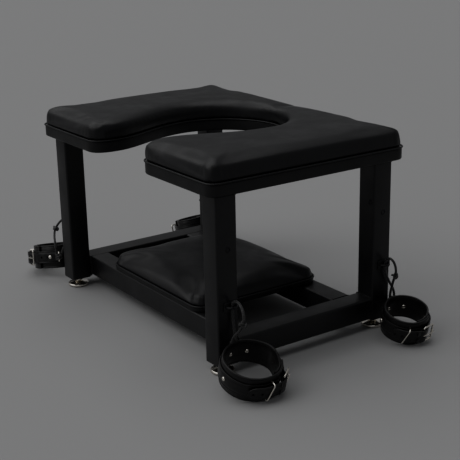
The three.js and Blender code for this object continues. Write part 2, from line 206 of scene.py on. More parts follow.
# a braid on the tube's own UV map: u runs round the cord and v along it, both in turns. Its colour is painted
# shade in the grooves between strands and a painted highlight on the strands' tops
def makeBraid(s):
    material, tree, shader = newMaterial("blackBraid", s["middle"], s["roughness"])
    uv = addNode(tree, "ShaderNodeUVMap")
    uv.uv_map = "UVMap"
    parts = tree.nodes.new("ShaderNodeSeparateXYZ")
    tree.links.new(uv.outputs["UV"], parts.inputs["Vector"])
    strands = mathOf(tree, "MULTIPLY", parts.outputs["X"], s["strands"])
    ridges = []
    for way in (1, -1):
        lean = mathOf(tree, "MULTIPLY_ADD", parts.outputs["Y"], s["pitch"] * way, strands)
        ridges.append(mathOf(tree, "SINE", mathOf(tree, "MULTIPLY", lean, 2 * math.pi)))
    high = mathOf(tree, "MAXIMUM", *ridges)
    # painted shade and painted highlight: the colour darkens down into the grooves and lightens on the ridge
    # tops
    toned = mixOf(tree, rangeOf(tree, high, -0.4, 1, 0, 1), s["dark"], s["light"])
    tree.links.new(toned, shader.inputs["Base Color"])
    tree.links.new(bumpOf(tree, high, s["bump"], s["depth"]), shader.inputs["Normal"])
    shader.inputs["Sheen Weight"].default_value = s["sheen"]
    return material


vinyl = makeCoat({
    "name": "padVinyl", "dark": (0.0035, 0.0035, 0.0042), "light": (0.0065, 0.0065, 0.0075), "roughness": 0.42,
    "specular": 0.32, "tone": (14, 3.0), "sheen": (26, 4.0, 0.3, 0.7, 0.36, 0.50),
    "bumps": [("noise", 38, 2.0, 0.25, 0.0010), ("grain", 640, 0, 0.30, 0.0002),
              ("noise", 2100, 3.0, 0.12, 0.0001)],
})
boardVinyl = makeCoat({
    "name": "boardVinyl", "dark": (0.003, 0.003, 0.0035), "light": (0.0055, 0.0055, 0.006), "roughness": 0.46,
    "specular": 0.3, "tone": (18, 3.0), "sheen": (30, 4.0, 0.3, 0.7, 0.40, 0.54),
    "bumps": [("drawn", 46, 2.0, 0.35, 0.0009), ("grain", 640, 0, 0.30, 0.0002)],
})
powderCoat = makeCoat({
    "name": "powderCoat", "dark": (0.0045, 0.0045, 0.005), "light": (0.008, 0.008, 0.009), "roughness": 0.4,
    "specular": 0.35, "tone": (9, 3.0), "sheen": (22, 6.0, 0.3, 0.7, 0.34, 0.50),
    "bumps": [("noise", 520, 2.0, 0.22, 0.0002), ("noise", 1700, 1.0, 0.12, 0.0001)],
})
leather = makeCoat({
    "name": "cuffLeather", "dark": (0.003, 0.003, 0.0035), "light": (0.0065, 0.006, 0.006), "roughness": 0.4,
    "specular": 0.35, "tone": (60, 5.0), "sheen": (110, 5.0, 0.3, 0.7, 0.28, 0.48),
    "bumps": [("noise", 190, 4.0, 0.30, 0.0005), ("grain", 1100, 0, 0.35, 0.00015)],
})
nickel = makeCoat({
    "name": "brightNickel", "dark": (0.74, 0.69, 0.60), "light": (0.82, 0.80, 0.75), "roughness": 0.16,
    "metallic": 1.0, "tone": (240, 3.0), "sheen": (420, 6.0, 0.35, 0.75, 0.10, 0.30),
    "bumps": [("noise", 900, 3.0, 0.06, 0.0001)],
})
blackFixing = makeCoat({
    "name": "blackFixing", "light": (0.030, 0.030, 0.032), "roughness": 0.36, "metallic": 1.0,
    "sheen": (500, 3.0, 0.3, 0.7, 0.28, 0.5), "bumps": [],
})
plastic = makePlastic("plugPlastic", (0.012, 0.012, 0.012))
rubber = makePlastic("footRubber", (0.016, 0.016, 0.016))
dustCloth = makePlastic("dustCloth", (0.020, 0.020, 0.021))
thread = makePlastic("blackThread", (0.013, 0.013, 0.013))
# dark is the painted shade in the braid's grooves, light the painted highlight on its strands' tops
braid = makeBraid({
    "dark": (0.006, 0.006, 0.006), "middle": (0.010, 0.010, 0.011), "light": (0.020, 0.020, 0.021),
    "roughness": 0.42, "strands": 4.0, "pitch": 2.0, "bump": 0.8, "depth": 0.0004, "sheen": 0.15,
})
print("materials done")


# ---------- shape building ----------
def clamp(value, low=0.0, high=1.0):
    return max(low, min(high, value))


def ease(value):
    t = clamp(value)
    return t * t * (3 - 2 * t)


def blendOf(a, b, t):
    return a + (b - a) * t


def makeMesh(name, points, faces, material, uvs=None, smooth=True):
    mesh = bpy.data.meshes.new(name)
    mesh.from_pydata([tuple(p) for p in points], [], faces)
    if uvs is not None:
        layer = mesh.uv_layers.new(name="UVMap")
        for loop in mesh.loops:
            layer.data[loop.index].uv = uvs[loop.index]
    mesh.polygons.foreach_set("use_smooth", [smooth] * len(mesh.polygons))
    mesh.materials.append(material)
    mesh.update()
    piece = bpy.data.objects.new(name, mesh)
    scene.collection.objects.link(piece)
    return piece


# hard corners stay crisp while rounded ones shade smoothly
def crisp(piece, angle=35):
    piece.data.set_sharp_from_angle(angle=math.radians(angle))
    return piece


def place(piece, matrix):
    piece.data.transform(matrix)
    return piece


def joinPieces(name, pieces):
    with bpy.context.temp_override(active_object=pieces[0], selected_editable_objects=pieces):
        bpy.ops.object.join()
    pieces[0].name = name
    pieces[0].data.name = name
    return pieces[0]


def settle(piece, body, slotName, *stoodFor):
    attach(piece, body)
    if stoodFor:
        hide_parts(*stoodFor)
    return piece


def arc(cx, cy, radius, start, end, steps):
    return [
        (cx + radius * math.cos(math.radians(blendOf(start, end, i / steps))),
         cy + radius * math.sin(math.radians(blendOf(start, end, i / steps))))
        for i in range(steps + 1)
    ]


def bezier(a, b, c, d, steps):
    made = []
    for i in range(1, steps):
        t = i / steps
        w = ((1 - t) ** 3, 3 * t * (1 - t) ** 2, 3 * t * t * (1 - t), t ** 3)
        made.append(tuple(sum(w[k] * p[axis] for k, p in enumerate((a, b, c, d))) for axis in (0, 1)))
    return made


def roundedBox(halfX, halfY, radius, steps=5):
    x, y = halfX - radius, halfY - radius
    return (arc(x, -y, radius, -90, 0, steps) + arc(x, y, radius, 0, 90, steps)
            + arc(-x, y, radius, 90, 180, steps) + arc(-x, -y, radius, 180, 270, steps))


# a closed outline walked again in even steps
def evenLoop(outline, step):
    ring = np.array(list(outline) + [outline[0]], float)
    along = np.concatenate([[0], np.cumsum(np.linalg.norm(np.diff(ring, axis=0), axis=1))])
    count = max(8, int(round(along[-1] / step)))
    at = np.linspace(0, along[-1], count, endpoint=False)
    return np.stack([np.interp(at, along, ring[:, k]) for k in range(ring.shape[1])], axis=1)


# outward normals of a closed counterclockwise outline
def outwards(outline):
    ahead = np.roll(outline, -1, axis=0) - np.roll(outline, 1, axis=0)
    normal = np.stack([ahead[:, 1], -ahead[:, 0]], axis=1)
    return normal / np.linalg.norm(normal, axis=1)[:, None]


# rings of equal length joined into a skin; wrap closes it on itself, otherwise both ends are capped
def loft(name, rings, material, wrap=False):
    count = len(rings[0])
    points = [p for ring in rings for p in ring]
    faces = []
    for k in range(len(rings) if wrap else len(rings) - 1):
        low, high = k * count, ((k + 1) % len(rings)) * count
        for i in range(count):
            j = (i + 1) % count
            faces.append((low + i, low + j, high + j, high + i))
    if not wrap:
        faces.append(tuple(reversed(range(count))))
        faces.append(tuple(range((len(rings) - 1) * count, len(rings) * count)))
    return makeMesh(name, points, faces, material)


# an upright solid: outline moved in by inset at each height of the profile
def upright(name, outline, profile, material, wrap=False):
    outline = np.asarray(outline, float)
    normal = outwards(outline)
    rings = [[(*(p - n * inset), z) for p, n in zip(outline, normal)] for inset, z in profile]
    return loft(name, rings, material, wrap)


# a profile of (radius, height) turned about Z; it starts and ends on the axis
def turned(name, profile, material, steps=48):
    points, faces = [], []
    inner = profile[1:-1]
    for radius, z in inner:
        points += [(radius * math.cos(2 * math.pi * i / steps), radius * math.sin(2 * math.pi * i / steps), z)
                   for i in range(steps)]
    for k in range(len(inner) - 1):
        for i in range(steps):
            j = (i + 1) % steps
            faces.append((k * steps + i, k * steps + j, (k + 1) * steps + j, (k + 1) * steps + i))
    low, high = len(points), len(points) + 1
    points += [(0, 0, profile[0][1]), (0, 0, profile[-1][1])]
    last = (len(inner) - 1) * steps
    for i in range(steps):
        j = (i + 1) % steps
        faces.append((low, j, i))
        faces.append((high, last + i, last + j))
    return makeMesh(name, points, faces, material)


# a smooth curve through given points, with centripetal spacing
def smoothPath(points, count):
    pts = [Vector(p) for p in points]
    pts = [pts[0] * 2 - pts[1]] + pts + [pts[-1] * 2 - pts[-2]]
    spans = len(pts) - 3
    made = []
    for i in range(count + 1):
        at = spans * i / count
        k = min(int(at), spans - 1)
        p = pts[k:k + 4]
        t = [0.0]
        for m in range(3):
            t.append(t[-1] + max((p[m + 1] - p[m]).length, 1e-6) ** 0.5)
        x = blendOf(t[1], t[2], at - k)
        a = [p[m] * ((t[m + 1] - x) / (t[m + 1] - t[m])) + p[m + 1] * ((x - t[m]) / (t[m + 1] - t[m]))
             for m in range(3)]
        b = [a[m] * ((t[m + 2] - x) / (t[m + 2] - t[m])) + a[m + 1] * ((x - t[m]) / (t[m + 2] - t[m]))
             for m in range(2)]
        made.append(b[0] * ((t[2] - x) / (t[2] - t[1])) + b[1] * ((x - t[1]) / (t[2] - t[1])))
    return made


# a round tube along a path; radius may be a number or one for each point
def tube(name, path, radius, material, sides=12, closed=False):
    path = [Vector(p) for p in path]
    count = len(path)
    radii = radius if hasattr(radius, "__len__") else [radius] * count
    ahead = []
    for i in range(count):
        a = path[(i - 1) % count] if closed or i > 0 else path[i]
        b = path[(i + 1) % count] if closed or i < count - 1 else path[i]
        ahead.append((b - a).normalized())
    side = ahead[0].orthogonal().normalized()
    sidesOf = []
    for i in range(count):
        side = (side - ahead[i] * side.dot(ahead[i])).normalized()
        sidesOf.append(side.copy())
    if closed:  # the twist left over at the join is spread along the whole path
        back = (sidesOf[-1] - ahead[0] * sidesOf[-1].dot(ahead[0])).normalized()
        spare = math.atan2(back.cross(sidesOf[0]).dot(ahead[0]), back.dot(sidesOf[0]))
        sidesOf = [Matrix.Rotation(spare * i / count, 3, ahead[i]) @ s for i, s in enumerate(sidesOf)]
    points, along, run = [], [], 0.0
    for i in range(count):
        other = ahead[i].cross(sidesOf[i])
        if i:
            run += (path[i] - path[i - 1]).length
        along.append(run / (2 * math.pi * max(radii)))
        for k in range(sides):
            angle = 2 * math.pi * k / sides
            points.append(path[i] + (sidesOf[i] * math.cos(angle) + other * math.sin(angle)) * radii[i])
    faces, uvs = [], []
    for i in range(count if closed else count - 1):
        n = (i + 1) % count
        vHigh = along[i] + (along[1] - along[0]) if n == 0 else along[n]
        for k in range(sides):
            m = (k + 1) % sides
            faces.append((i * sides + k, i * sides + m, n * sides + m, n * sides + k))
            uLow, uHigh = k / sides, (k + 1) / sides
            uvs += [(uLow, along[i]), (uHigh, along[i]), (uHigh, vHigh), (uLow, vHigh)]
    if not closed:
        faces.append(tuple(reversed(range(sides))))
        faces.append(tuple(range((count - 1) * sides, count * sides)))
        uvs += [(0.5, 0)] * (2 * sides)
    return makeMesh(name, points, faces, material, uvs)


# a flat strip of leather that follows a path: wide is the direction across it at each point.
# The edges are rounded, and crease is a pressed line that far in from them
def ribbon(name, path, wide, width, thick, material, closed=False, crease=None):
    path = [Vector(p) for p in path]
    count = len(path)
    wides = [Vector(w).normalized() for w in (wide if hasattr(wide[0], "__len__") else [wide] * count)]
    half, deep = width / 2, thick / 2
    round_ = min(deep * 0.9, 0.0011)
    top = [(half, deep - round_), (half - round_ * 0.3, deep - round_ * 0.3), (half - round_, deep)]
    if crease:
        pressed = 0.0004
        top += [(half - crease + 0.0007, deep), (half - crease, deep - pressed), (half - crease - 0.0007, deep)]
    top += [(half / 3, deep), (0, deep)]
    upper = top + [(-w, n) for w, n in reversed(top[:-1])]
    section = upper + [(-w, -n) for w, n in upper]
    points = []
    for i in range(count):
        a = path[(i - 1) % count] if closed or i > 0 else path[i]
        b = path[(i + 1) % count] if closed or i < count - 1 else path[i]
        ahead = (b - a).normalized()
        normal = ahead.cross(wides[i]).normalized()
        points += [path[i] + wides[i] * w + normal * n for w, n in section]
    size = len(section)
    faces = []
    for i in range(count if closed else count - 1):
        n = (i + 1) % count
        for k in range(size):
            m = (k + 1) % size
            faces.append((i * size + k, n * size + k, n * size + m, i * size + m))
    if not closed:
        faces.append(tuple(range(size)))
        faces.append(tuple(reversed(range((count - 1) * size, count * size))))
    piece = makeMesh(name, points, faces, material)
    fixNormals(piece)
    return crisp(piece, 50)


def fixNormals(piece):
    made = bmesh.new()
    made.from_mesh(piece.data)
    bmesh.ops.recalc_face_normals(made, faces=made.faces)
    made.to_mesh(piece.data)
    made.free()
    return piece


# ---------- geometry nodes ----------
# a tree's named inputs, and the identifier of each one's socket
def startTree(name, settings):
    tree = bpy.data.node_groups.new(name, "GeometryNodeTree")
    face = tree.interface
    face.new_socket("Geometry", in_out="INPUT", socket_type="NodeSocketGeometry")
    sockets = {key: face.new_socket(key.title(), in_out="INPUT", socket_type="NodeSocket" + kind).identifier
               for key, kind in settings.items()}
    face.new_socket("Geometry", in_out="OUTPUT", socket_type="NodeSocketGeometry")
    return tree, sockets, tree.nodes.new("NodeGroupInput")


# the first socket of a kind that is in use
def liveSocket(sockets, kind):
    return next(s for s in sockets if s.type == kind and s.enabled)


# puts the given piece on every point, turned and sized, then makes the copies real and paints them
def placeCopies(tree, given, points, facing, size, finish):
    nodes, links = tree.nodes, tree.links
    info = nodes.new("GeometryNodeObjectInfo")
    links.new(given.outputs["Piece"], info.inputs["Object"])
    copies = nodes.new("GeometryNodeInstanceOnPoints")
    links.new(points, copies.inputs["Points"])
    links.new(info.outputs["Geometry"], copies.inputs["Instance"])
    links.new(facing.outputs["Rotation"], copies.inputs["Rotation"])
    links.new(size, copies.inputs["Scale"])
    real = nodes.new("GeometryNodeRealizeInstances")
    links.new(copies.outputs["Instances"], real.inputs["Geometry"])
    paint = nodes.new("GeometryNodeSetMaterial")
    paint.inputs["Material"].default_value = finish
    links.new(real.outputs["Geometry"], paint.inputs["Geometry"])
    links.new(paint.outputs["Geometry"], nodes.new("NodeGroupOutput").inputs["Geometry"])


# copies of a small piece set in even steps along the edges of a path
def alongTree(name, finish):
    tree, sockets, given = startTree(name, {
        "piece": "Object", "spacing": "Float", "jitter": "Float", "seed": "Int",
    })
    nodes, links = tree.nodes, tree.links
    curve = nodes.new("GeometryNodeMeshToCurve")
    links.new(given.outputs["Geometry"], curve.inputs["Mesh"])
    steps = nodes.new("GeometryNodeResampleCurve")
    steps.mode = "LENGTH"
    links.new(curve.outputs["Curve"], steps.inputs["Curve"])
    links.new(given.outputs["Spacing"], steps.inputs["Length"])
    facing = nodes.new("FunctionNodeAlignRotationToVector")
    facing.axis = "X"
    links.new(nodes.new("GeometryNodeInputTangent").outputs["Tangent"], facing.inputs["Vector"])
    spread = nodes.new("FunctionNodeRandomValue")
    spread.data_type = "FLOAT"
    smallest, largest = [s for s in spread.inputs if s.type == "VALUE" and s.enabled][:2]
    links.new(mathOf(tree, "SUBTRACT", 1.0, given.outputs["Jitter"]), smallest)
    largest.default_value = 1.0
    links.new(given.outputs["Seed"], spread.inputs["Seed"])
    placeCopies(tree, given, steps.outputs["Curve"], facing, liveSocket(spread.outputs, "VALUE"), finish)
    return tree, sockets


# copies of a small piece set on points, each turned so that its Z looks along the point's facing
def onPointsTree(name, finish):
    tree, sockets, given = startTree(name, {"piece": "Object", "size": "Float"})
    looked = tree.nodes.new("GeometryNodeInputNamedAttribute")
    looked.data_type = "FLOAT_VECTOR"
    looked.inputs["Name"].default_value = "facing"
    facing = tree.nodes.new("FunctionNodeAlignRotationToVector")
    facing.axis = "Z"
    tree.links.new(liveSocket(looked.outputs, "VECTOR"), facing.inputs["Vector"])
    placeCopies(tree, given, given.outputs["Geometry"], facing, given.outputs["Size"], finish)
    return tree, sockets


# runs a tree on a carrier object and keeps the result as a plain mesh
def bake(name, carrier, tree, values):
    modifier = carrier.modifiers.new("made", "NODES")
    modifier.node_group = tree
    for identifier, value in values.items():
        modifier[identifier] = value
    carrier.update_tag()
    bpy.context.view_layer.update()
    shown = carrier.evaluated_get(bpy.context.evaluated_depsgraph_get())
    mesh = bpy.data.meshes.new_from_object(shown)
    mesh.name = name
    mesh.polygons.foreach_set("use_smooth", [True] * len(mesh.polygons))
    bpy.data.objects.remove(carrier)
    piece = bpy.data.objects.new(name, mesh)
    scene.collection.objects.link(piece)
    return piece


trees = {}


def treeFor(kind, finish):
    key = (kind, finish.name)
    if key not in trees:
        trees[key] = (alongTree if kind == "along" else onPointsTree)(kind + finish.name, finish)
    return trees[key]


def bareObject(name, points, edges):
    mesh = bpy.data.meshes.new(name)
    mesh.from_pydata([tuple(p) for p in points], edges, [])
    carrier = bpy.data.objects.new(name, mesh)
    scene.collection.objects.link(carrier)
    return carrier


def setAlong(name, paths, piece, spacing, finish, closed=False, jitter=0.0, seed=1):
    points, edges = [], []
    for path in paths:
        first = len(points)
        points += list(path)
        edges += [(first + i, first + i + 1) for i in range(len(path) - 1)]
        if closed:
            edges.append((len(points) - 1, first))
    tree, sockets = treeFor("along", finish)
    return bake(name, bareObject(name + "Path", points, edges), tree, {
        sockets["piece"]: piece, sockets["spacing"]: spacing,
        sockets["jitter"]: jitter, sockets["seed"]: seed,
    })


def setOnPoints(name, spots, piece, finish, size=1.0):
    carrier = bareObject(name + "Spots", [s[0] for s in spots], [])
    facing = carrier.data.attributes.new("facing", "FLOAT_VECTOR", "POINT")
    for i, spot in enumerate(spots):
        facing.data[i].vector = spot[1]
    tree, sockets = treeFor("onPoints", finish)
    return bake(name, carrier, tree, {sockets["piece"]: piece, sockets["size"]: size})


def hideTool(piece):
    piece.hide_render = True
    piece.hide_viewport = True
    return piece


# the small pieces that the trees copy
def stitchPiece():
    s = {"half": 0.0013, "radius": 0.00036}
    path = [(blendOf(-s["half"], s["half"], i / 6), 0, 0) for i in range(7)]
    radii = [s["radius"] * k for k in (0.35, 0.85, 1, 1, 1, 0.85, 0.35)]
    return hideTool(tube("stitchTool", path, radii, thread, sides=6))


def beadPiece():
    profile = [(0, -0.0013), (0.0008, -0.0011), (0.0013, -0.0004), (0.0013, 0.0004), (0.0008, 0.0011),
               (0, 0.0013)]
    return hideTool(turned("beadTool", profile, powderCoat, steps=8))


def rivetPiece():
    profile = [(0, -0.0005), (0.0034, -0.0005), (0.0038, 0), (0.0037, 0.0006), (0.0031, 0.0013),
               (0.0020, 0.0019), (0.0009, 0.0021), (0, 0.0022)]
    return hideTool(turned("rivetTool", profile, nickel, steps=24))


def screwPiece():
    profile = [(0, -0.0005), (0.0040, -0.0005), (0.0042, 0), (0.0039, 0.0012), (0.0029, 0.0021),
               (0.0017, 0.0023), (0.0016, 0.0010), (0, 0.0008)]
    return hideTool(turned("screwTool", profile, blackFixing, steps=20))


def insertPiece():
    profile = [(0, -0.0008), (0.0046, -0.0008), (0.0046, 0.0004), (0.0042, 0.0008), (0.0030, 0.0008),
               (0.0028, 0.0004), (0.0027, -0.0006), (0, -0.0007)]
    return hideTool(turned("insertTool", profile, blackFixing, steps=20))


def staplePiece():
    path = [(-0.005, 0, 0.0012), (-0.005, 0, -0.0003), (-0.0046, 0, -0.0006), (0.0046, 0, -0.0006),
            (0.005, 0, -0.0003), (0.005, 0, 0.0012)]
    return hideTool(tube("stapleTool", path, 0.0004, nickel, sides=6))


stitchTool = stitchPiece()
beadTool = beadPiece()
rivetTool = rivetPiece()
screwTool = screwPiece()
insertTool = insertPiece()
stapleTool = staplePiece()


# ---------- the cuffs' places, then the cords ----------
cuffSet = {
    "thick": 0.0034, "height": 0.047, "overlap": 44, "gap": 0.0004, "ringReach": 0.0126,
    "strapWidth": 0.025, "strapThick": 0.0024, "tailRise": 0.0115, "tailOut": 0.008,
    "heelOut": 0.0072, "heelSide": 0.010, "frontOut": 0.0088, "frontSide": 0.0122, "ringBarOut": 0.0053,
    "tabThick": 0.0018, "tabHeight": 0.016,
}
cordSet = {"radius": 0.00225, "clear": 0.0046, "sides": 14, "out": 0.0051, "drop": 0.011,
           "steps": 150, "knotZ": 0.104, "knotWithin": (20, 76)}


def cuffMatrix(name):
    c = corners[name]
    side, lean, spin = c["side"], math.radians(c["lean"]), math.radians(c["spin"])
    height = c["radius"] * math.sin(lean) + cuffSet["height"] / 2 * math.cos(lean)
    middle = Matrix.Translation((side * c["middle"][0], c["middle"][1], height))
    facing = Matrix.Rotation(0 if side > 0 else math.pi, 4, "Z")
    return middle @ Matrix.Rotation(spin, 4, "Z") @ Matrix.Rotation(side * lean, 4, "Y") @ facing


def closureMatrix(name):
    return cuffMatrix(name) @ Matrix.Rotation(math.radians(corners[name]["turn"]), 4, "Z")


def cordRoute(name):
    c, side = corners[name], corners[name]["side"]
    legLow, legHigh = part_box(f"leg_{name}")
    eyeLow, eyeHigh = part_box(f"anchor_eye_{name}")
    face = legHigh.x if side > 0 else -legLow.x
    eyeZ = (eyeLow.z + eyeHigh.z) / 2
    ring = cuffMatrix(name) @ Vector((-(c["radius"] + cuffSet["ringReach"]), 0, 0))
    ringOut, clear = side * ring.x - face, cordSet["clear"]
    spin = math.radians(c["spin"])
    over, under = ring.z + 0.003, ring.z - 0.004

    def at(out, z, toRing, aside):
        return Vector((side * (face + out) - aside * math.sin(spin),
                       blendOf(c["eyeY"], ring.y, toRing) + aside * math.cos(spin), z))

    points = [at(ringOut, under, 1, -clear), at(ringOut, over, 1, -clear)]
    loop = c["loop"][::-1]
    for i, (out, z) in enumerate(loop):
        toRing = ease(1 - i / (len(loop) - 1))
        points.append(at(out, z, toRing, -clear * toRing))
    low = eyeZ - cordSet["drop"]
    points += [at(cordSet["out"], eyeZ, 0, 0), at(cordSet["out"], low, 0, 0)]
    for t in (0.35, 0.68):
        toRing = ease(t * 1.3)
        out = blendOf(cordSet["out"], ringOut, t * t)
        points.append(at(out, blendOf(low, over, t), toRing, clear * toRing))
    points += [at(ringOut, over, 1, clear), at(ringOut, under, 1, clear)]
    return points


# turns of cord round the bow of the D-ring, between the cord's two ends
def ringHitch(name):
    s = {"turns": 2.5, "round": 0.0036, "pitch": 0.0044, "bow": 0.0173}
    bow = corners[name]["radius"] + s["bow"]
    path = []
    steps = 60
    for i in range(steps + 1):
        t = i / steps
        angle = 2 * math.pi * s["turns"] * t
        z = (t - 0.5) * s["pitch"] * s["turns"]
        bowIn = 0.0009 * (z / 0.005) ** 2
        path.append((-(bow - bowIn) + s["round"] * math.cos(angle), s["round"] * math.sin(angle), z))
    return place(tube(f"ringHitch_{name}", path, cordSet["radius"] * 0.94, braid, sides=10), cuffMatrix(name))


# an overhand knot drawn tight on the cord, with its axis along the cord
def overhandKnot(name, centre, ahead):
    s = {"size": 0.0030, "rise": 0.0021}
    turn = ahead.to_track_quat("Z", "Y").to_matrix().to_4x4()
    path = []
    for i in range(72):
        t = 2 * math.pi * i / 72
        path.append((s["size"] * (math.sin(t) + 2 * math.sin(2 * t)) * 0.62,
                     s["size"] * (math.cos(t) - 2 * math.cos(2 * t)) * 0.62, -s["rise"] * math.sin(3 * t)))
    knot = tube(name, path, cordSet["radius"] * 0.86, braid, sides=10, closed=True)
    return place(knot, Matrix.Translation(centre) @ turn)


def makeCord(name):
    s = cordSet
    path = smoothPath(cordRoute(name), s["steps"])
    cord = tube(f"tetherCord_{name}", path, s["radius"], braid, sides=s["sides"])
    settle(cord, f"tether_{name}", "cord", f"tether_cord_{name}")
    hitch = settle(ringHitch(name), f"tether_{name}", "cord")
    at = min(range(*s["knotWithin"]), key=lambda i: abs(path[i].z - s["knotZ"]))
    knot = overhandKnot(f"tetherKnot_{name}", path[at], (path[at + 1] - path[at - 1]).normalized())
    settle(knot, f"tether_{name}", "cord")


for cornerName in corners:
    makeCord(cornerName)


# ---------- seat ----------
seatSet = {
    "corner": 0.018, "mouthHalf": 0.108, "neckHalf": 0.076, "neckY": -0.155, "holeRadius": 0.125, "holeY": 0.015,
    "lipPull": 0.024, "neckPull": 0.030, "neckEase": 0.050, "holeEase": 0.070, "step": 0.005,
    "padInset": 0.0005, "padStart": 0.0325, "edge": 0.012, "voxel": 0.005, "pressure": 4.0, "cap": 0.0045,
}


# the U outline, moved in by inset all round
def seatOutline(inset=0.0):
    s = seatSet
    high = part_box("seat_board")[1]
    x, y, r = high.x - inset, high.y - inset, s["corner"]
    mouth, neck, hole = s["mouthHalf"] + inset, s["neckHalf"] + inset, s["holeRadius"] + inset
    holeY, neckY = s["holeY"], s["neckY"]
    points = [(mouth, -y)] + roundedBox(x, y, r, 8) + [(-mouth, -y)]
    lip = [(-mouth, -y), (-mouth + s["lipPull"], -y), (-neck, neckY - s["neckPull"]), (-neck, neckY)]
    flank = [(-neck, neckY), (-neck, neckY + s["neckEase"]), (-hole, holeY - s["holeEase"]), (-hole, holeY)]
    inner = bezier(*lip, 14) + [lip[-1]] + bezier(*flank, 16)
    points += inner + arc(0, holeY, hole, 180, 0, 40) + [(-px, py) for px, py in reversed(inner)]
    return evenLoop(points, s["step"])


# a rounded edge profile, from the bottom up, as (inset, height)
def edgeProfile(bottom, top, lowRound, highRound, steps=4):
    made = []
    for i in range(steps + 1):
        a = math.radians(90 * i / steps)
        made.append((lowRound * (1 - math.sin(a)), bottom + lowRound * (1 - math.cos(a))))
    for i in range(steps + 1):
        a = math.radians(90 * i / steps)
        made.append((highRound * (1 - math.cos(a)), top - highRound * (1 - math.sin(a))))
    return made


clothSet = {"quality": 6, "mass": 0.3, "bend": 0.5, "frames": 20, "heldHeight": 0.0025, "floorGap": 0.0003}


# foam under a skin: remeshed, then blown up by cloth pressure with its flat bottom held. cap is the
# most that any point of it may move
def puff(piece, s, bottom):
    modifier = piece.modifiers.new("even", "REMESH")
    modifier.mode = "VOXEL"
    modifier.voxel_size = s["voxel"]
    applyAll(piece)
    rest = np.zeros(len(piece.data.vertices) * 3, np.float32)
    piece.data.vertices.foreach_get("co", rest)
    rest = rest.reshape(-1, 3)
    held = piece.vertex_groups.new(name="held")
    for i in np.nonzero(rest[:, 2] < bottom + clothSet["heldHeight"])[0]:
        held.add([int(i)], 1.0, "REPLACE")
    cloth = piece.modifiers.new("cloth", "CLOTH")
    settings = cloth.settings
    settings.quality = clothSet["quality"]
    settings.mass = clothSet["mass"]
    settings.tension_stiffness = s["stiff"]
    settings.compression_stiffness = s["stiff"]
    settings.shear_stiffness = s["stiff"] / 3
    settings.bending_stiffness = clothSet["bend"]
    settings.use_pressure = True
    settings.uniform_pressure_force = s["pressure"]
    settings.vertex_group_mass = "held"
    settings.effector_weights.gravity = 0
    cloth.collision_settings.use_collision = False
    cloth.collision_settings.use_self_collision = False
    for step in range(1, clothSet["frames"] + 1):
        scene.frame_set(step)
        bpy.context.view_layer.update()
    applyAll(piece)
    scene.frame_set(1)
    found = np.zeros(len(piece.data.vertices) * 3, np.float32)
    piece.data.vertices.foreach_get("co", found)
    found = found.reshape(-1, 3)
    move = found - rest
    size = np.linalg.norm(move, axis=1)
    limit = s["cap"] * np.tanh(size / s["cap"]) / np.maximum(size, 1e-9)
    found = rest + move * limit[:, None]
    found[:, 2] = np.maximum(found[:, 2], bottom + clothSet["floorGap"])
    return found


def applyAll(piece):
    shown = piece.evaluated_get(bpy.context.evaluated_depsgraph_get())
    mesh = bpy.data.meshes.new_from_object(shown)
    old = piece.data
    piece.modifiers.clear()
    piece.data = mesh
    mesh.name = old.name
    bpy.data.meshes.remove(old)


# small gathers in the skin where it is pulled round a tight corner, strongest at mid height
def gather(found, spots, bottom, top):
    for spot in spots:
        away = found[:, :2] - np.array(spot["at"])
        angle = np.arctan2(away[:, 1], away[:, 0])
        near = np.exp(-(np.linalg.norm(away, axis=1) / spot["reach"]) ** 2)
        level = np.clip((found[:, 2] - bottom) / (top - bottom), 0, 1)
        height = np.sin(math.pi * np.clip(level * 0.9 + 0.1, 0, 1)).clip(0, 1)
        fold = np.cos(angle * spot["folds"]) * spot["depth"] * near * height
        outward = away / np.maximum(np.linalg.norm(away, axis=1), 1e-6)[:, None]
        found[:, :2] += outward * fold[:, None]
    return found


def finishPad(piece, found):
    piece.data.vertices.foreach_set("co", found.astype(np.float32).ravel())
    piece.data.update()
    smooth = piece.modifiers.new("smooth", "SMOOTH")
    smooth.factor = 0.5
    smooth.iterations = 2
    finer = piece.modifiers.new("finer", "SUBSURF")
    finer.levels = 1
    finer.render_levels = 1
    applyAll(piece)
    piece.data.polygons.foreach_set("use_smooth", [True] * len(piece.data.polygons))
    piece.data.materials.clear()
    piece.data.materials.append(vinyl)


def makeSeatBoard(outline):
    low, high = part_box("seat_board")
    board = upright("seatBoard", outline, edgeProfile(low.z, high.z - 0.0002, 0.003, 0.0025), boardVinyl)
    crisp(board, 60)
    settle(board, "frame", "board_cover", "seat_board")


def makeSeatPad(outline):
    s = {**seatSet, "stiff": 12, "cornerIn": 0.022, "lipIn": 0.006, "lipOut": 0.014, "depth": 0.0011,
         "weltOut": 0.0004, "weltUp": 0.0010, "welt": 0.0017}
    low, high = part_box("seat_pad")
    normal = outwards(outline)
    shape = outline - normal * s["padInset"]
    top = low.z + s["padStart"]
    pad = upright("seatPad", shape, edgeProfile(low.z, top, 0.001, s["edge"]), vinyl)
    found = puff(pad, s, low.z)
    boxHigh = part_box("seat_board")[1]
    cornerX, cornerY = boxHigh.x - s["cornerIn"], boxHigh.y - s["cornerIn"]
    lipX = s["mouthHalf"] - s["lipIn"] + s["lipOut"]
    spots = [{"at": (x, y), "reach": 0.030, "folds": 15, "depth": s["depth"]}
             for x in (-cornerX, cornerX) for y in (-cornerY, cornerY)]
    spots += [{"at": (x, -cornerY), "reach": 0.034, "folds": 13, "depth": s["depth"]} for x in (-lipX, lipX)]
    finishPad(pad, gather(found, spots, low.z, high.z))
    settle(pad, "frame", "pad_vinyl", "seat_pad")
    seam = [(*(p + n * s["weltOut"]), low.z + s["weltUp"]) for p, n in zip(outline, normal)]
    welt = tube("seatWelt", seam, s["welt"], vinyl, sides=8, closed=True)
    settle(welt, "frame", "pad_vinyl")


